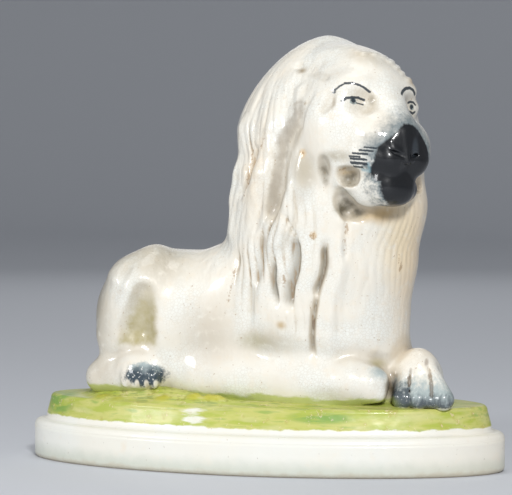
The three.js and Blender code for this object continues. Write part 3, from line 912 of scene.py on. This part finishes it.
lines = largest([
    stroke(face, NEAR_BROW[:4], 0.35), stroke(face, NEAR_BROW[3:], 0.65), stroke(face, FAR_BROW, 0.95),
    stroke(face, NEAR_LID, 0.75), stroke(face, NEAR_UNDER, 0.4),
    stroke(face, FAR_LID, 0.7), stroke(face, FAR_UNDER, 0.7),
    1.35 - shift(face, "DISTANCE", (22.5, 221.2, 0)), 1.3 - shift(face, "DISTANCE", (-20.8, 221.2, 0)),
])
colour = blend(ramp(lines + (speck - 0.5) * 0.5, -0.25, 0.2) * front * 0.95, colour, list(INK))
glints = largest([0.7 - shift(face, "DISTANCE", spot) for spot in ((21.2, 219.6, 0), (24.3, 219.9, 0), (-21.8, 220, 0))])
colour = blend(ramp(glints, -0.1, 0.4) * front * 0.8, colour, [0.35, 0.42, 0.40, 1])

WHISKERS = [(31.4, 36.5, 182.4, 0.6), (30.9, 40, 184.5, 0.9), (31.5, 41, 186.9, 0.75), (30.9, 37.5, 188.3, 0.65),
            (33.5, 42, 190.1, 0.7), (37.5, 45, 192.1, 0.65), (40.3, 46.3, 193.9, 0.55)]  # back, tip, height, half width
whiskers = largest([stroke(cheek, [(back, level, 0), (tip, level - 0.2, 0)], width) for back, tip, level, width in WHISKERS])
beside = ramp(across.math("ABSOLUTE", across), 8, 11)
pale_whisker = stroke(cheek, [(35.5, 181, 0), (40, 180.3, 0), (41.5, 184, 0)], 1.2) + (speck - 0.5) * 2
colour = blend(ramp(pale_whisker, -0.5, 1) * beside * 0.55, colour, [0.22, 0.40, 0.46, 1])
colour = blend(ramp(whiskers + (speck - 0.5) * 0.8, -0.2, 0.3) * beside * 0.95, colour, list(INK))

# %% Green that ran up from the ground
ground = grain(place, 6, 3, (2, 1, 1))
rising = ramp(x, -20, -95) * 3
green_edge = ramp(z + (ground - 0.5) * 8 - rising, 47, 44.5)
colour = blend(green_edge * ramp(x, 96, 80) * 0.8, colour, list(GRASS))

# %% Gloss and relief of the animal
link(colour, shader, "Base Color")
link(0.32 + ramp(mottle, 0.3, 0.8) * 0.12, shader, "Roughness")
link(0.5 - dirt_and_shade * 0.45, shader, "Coat Weight")
shader.inputs["Specular IOR Level"].default_value = 0.35
shader.inputs["Coat Roughness"].default_value = 0.05
waves = grain(place, 9, 2, (1, 1, 2.2)) * 1.2 + grain(place, 3.4, 2, (1, 1, 2.4)) * 0.45 + speck * 0.06
combed = grain(place, 4.2, 2, (1, 1, 3.2)) * ramp(z, 90, 125) * ramp(forward, 14, -2) * 1.3
bump = place.node("ShaderNodeBump", {}, {"Strength": 0.55, "Distance": MM * 1.0, "Height": waves + combed})
link(bump, shader, "Normal")
print(f"lion glaze: {len(lion_glaze.node_tree.nodes)} nodes")

# %% [markdown]
# ## The glaze on the base
# The slab was brushed with yellow-green while the foot kept the body's cream, and both ran a little.
# Streaks lie along the base, as the brush went, with emerald where the colour is thick.

# %% The base's glaze
base_glaze, shader, place, (x, y, z) = new_glaze("base glaze")
cloud = grain(place, 30, 3)
mottle = grain(place, 6, 4)
brush = grain(place, 5, 4, (5, 2, 0.8))
speck = grain(place, 1.6, 2)
colour = blend(ramp(cloud, 0.3, 0.7), [0.82, 0.80, 0.72, 1], list(COLD_WHITE))
colour = blend(ramp(mottle, 0.55, 0.75) * 0.12, colour, list(WARM))
pale = grain(place, 9, 3, (3, 1.5, 0.7))
green = blend(ramp(brush, 0.38, 0.60), list(GRASS), [0.55, 0.55, 0.17, 1])
green = blend(ramp(pale, 0.50, 0.70) * 0.5, green, [0.61, 0.60, 0.29, 1])
fine = grain(place, 2.4, 3, (6, 1.5, 0.6))
green = blend(ramp(fine, 0.56, 0.66) * 0.6 * ramp(z, 36, 42), green, [0.22, 0.30, 0.10, 1])
green = blend(ramp(fine, 0.42, 0.34) * 0.5 * ramp(z, 36, 42), green, [0.70, 0.62, 0.38, 1])
green = blend(ramp(brush, 0.60, 0.74) * 0.6, green, list(EMERALD))
green = blend(ramp(mottle, 0.58, 0.70) * 0.5, green, [0.42, 0.36, 0.08, 1])
EMERALD_PATCHES = [((-128, -20, 36), (18, 30, 10)), ((50, -50, 35), (26, 16, 4.5))]
deep = largest([ramp(patch(place, middle, sizes), 0, 0.6) for middle, sizes in EMERALD_PATCHES])
green = blend(deep * ramp(brush, 0.36, 0.54) * 0.9, green, list(EMERALD))
green = blend(ramp(speck * 0.6 + mottle * 0.4, 0.60, 0.66) * 0.5, green, list(WARM))
tufts = ramp(grain(place, 2.6, 3, (1.6, 1.2, 0.6)), 0.52, 0.66) * ramp(z, 41.2, 42.5)
green = blend(tufts * 0.7, green, [0.30, 0.30, 0.06, 1])
for middle_x, middle_y, height, half_length, half_depth in CLUMPS:
    clump = patch(place, (middle_x, middle_y, RIM_HEIGHT + 7), (1.4 * half_length, 1.6 * half_depth, 9))
    green = blend(ramp(clump, 0, 0.5) * 0.8, green, [0.50, 0.47, 0.05, 1])
bare = ramp(patch(place, (-30, -55, 32), (11, 14, 7)) + (brush - 0.5) * 2.4, 0.1, 0.5)
over = ramp(z + (mottle - 0.5) * 3 + (brush - 0.5) * 2, 27.2, 28.4) * (1 - bare * 0.85)
colour = blend(over, colour, green)
dots = ramp(speck, 0.735, 0.755)
colour = blend(dots * 0.7, colour, list(BROWN))
# Painted shade: the foot darkens and greys towards its bottom, by the floor.
colour = blend(ramp(z + (mottle - 0.5) * 4, 13, 3) * 0.8, colour, [0.56, 0.59, 0.51, 1])
colour = blend(ramp(x, 70, 140) * ramp(z, 30, 24) * 0.15, colour, list(WARM))
smudge = ramp(patch(place, (-73, -58, 14), (4, 12, 7)) + (mottle - 0.5) * 1.2, 0.1, 0.9)
colour = blend(smudge * 0.35, colour, list(WARM))
worn = ramp(z + (mottle - 0.5) * 6, 4.5, 0.5)
colour = blend(worn * 0.5, colour, list(BEIGE))
colour = blend(ramp(z, 0.8, 0.1), colour, [0.60, 0.50, 0.38, 1])
link(colour, shader, "Base Color")
biscuit = ramp(z, 1.2, 0.2)
link(0.28 + ramp(mottle, 0.3, 0.8) * 0.12 + biscuit * 0.5, shader, "Roughness")
link(0.12 - biscuit * 0.12, shader, "Coat Weight")
shader.inputs["Specular IOR Level"].default_value = 0.28
shader.inputs["Coat Roughness"].default_value = 0.07
waves = grain(place, 14, 2) * 1.0 + brush * ramp(z, 39, 42) * 1.2 + speck * 0.05
bump = place.node("ShaderNodeBump", {}, {"Strength": 0.5, "Distance": MM * 1.0, "Height": waves})
link(bump, shader, "Normal")

# %% Pieces
lion = make_piece("lion", points, faces.tolist(), lion_glaze)
groove_here, strand_here = groove_depth(points)
store(lion, "hollow", hollow_depth(animal, points, outward, 3.0))
store(lion, "shade", hollow_depth(animal, points, outward, 11.0))
store(lion, "groove", groove_here)
store(lion, "strand", strand_here)
base = make_piece("base", base_points, base_faces, base_glaze)
for piece in (lion, base):
    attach(piece, "root")
    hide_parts("lion_figure")

# %% Camera
camera = bpy.data.cameras.new("camera")
camera.sensor_width = 36
camera.lens = 181.7
viewer = bpy.data.objects.new("camera", camera)
bpy.context.scene.collection.objects.link(viewer)
viewer.location = (0.4375, -1.5259, 0.2205)
aim = Vector((-0.0051, -0.0015, 0.133)) - viewer.location
viewer.rotation_euler = aim.to_track_quat("-Z", "Y").to_euler()
bpy.context.scene.camera = viewer

# %% Floor and light
bpy.context.scene.view_settings.view_transform = "Standard"
world = bpy.data.worlds.new("studio")
bpy.context.scene.world = world
world.use_nodes = True
world.node_tree.nodes["Background"].inputs["Color"].default_value = (0.80, 0.82, 0.85, 1)
world.node_tree.nodes["Background"].inputs["Strength"].default_value = 0.33

steps = np.linspace(0, math.pi / 2, 25)
sweep = [(-7.0, 0.0)] + [(2.6 + 1.5 * math.sin(turn), 1.5 - 1.5 * math.cos(turn)) for turn in steps] + [(4.1, 5.0)]
floor_mesh = bpy.data.meshes.new("floor")
floor_mesh.from_pydata([(side, y, z) for y, z in sweep for side in (-6, 6)], [],
                       [(2 * row, 2 * row + 1, 2 * row + 3, 2 * row + 2) for row in range(len(sweep) - 1)])
floor_mesh.polygons.foreach_set("use_smooth", np.ones(len(floor_mesh.polygons), dtype=bool))
floor = bpy.data.objects.new("floor", floor_mesh)
bpy.context.scene.collection.objects.link(floor)
paper = bpy.data.materials.new("pale paper")
paper.use_nodes = True
paper.node_tree.nodes["Principled BSDF"].inputs["Base Color"].default_value = (0.60, 0.62, 0.66, 1)
paper.node_tree.nodes["Principled BSDF"].inputs["Roughness"].default_value = 0.8
floor.data.materials.append(paper)


def softbox(name, place, size, watts, aim):
    """A square area light at a place, turned to face aim."""
    lamp = bpy.data.lights.new(name, "AREA")
    lamp.size = size
    lamp.energy = watts
    lamp_object = bpy.data.objects.new(name, lamp)
    bpy.context.scene.collection.objects.link(lamp_object)
    lamp_object.location = place
    lamp_object.rotation_euler = (Vector(aim) - Vector(place)).to_track_quat("-Z", "Y").to_euler()


softbox("key", (0.65, -1.5, 0.95), 0.25, 23, (0, 0, 0.12))
softbox("left", (-1.1, -1.2, 0.6), 0.35, 8.3, (0, 0, 0.12))
softbox("back", (-0.4, 1.5, 0.8), 0.9, 1.6, (0, 0, 0.12))
softbox("top", (0.1, 0.1, 1.7), 0.7, 4.0, (0, 0, 0.12))
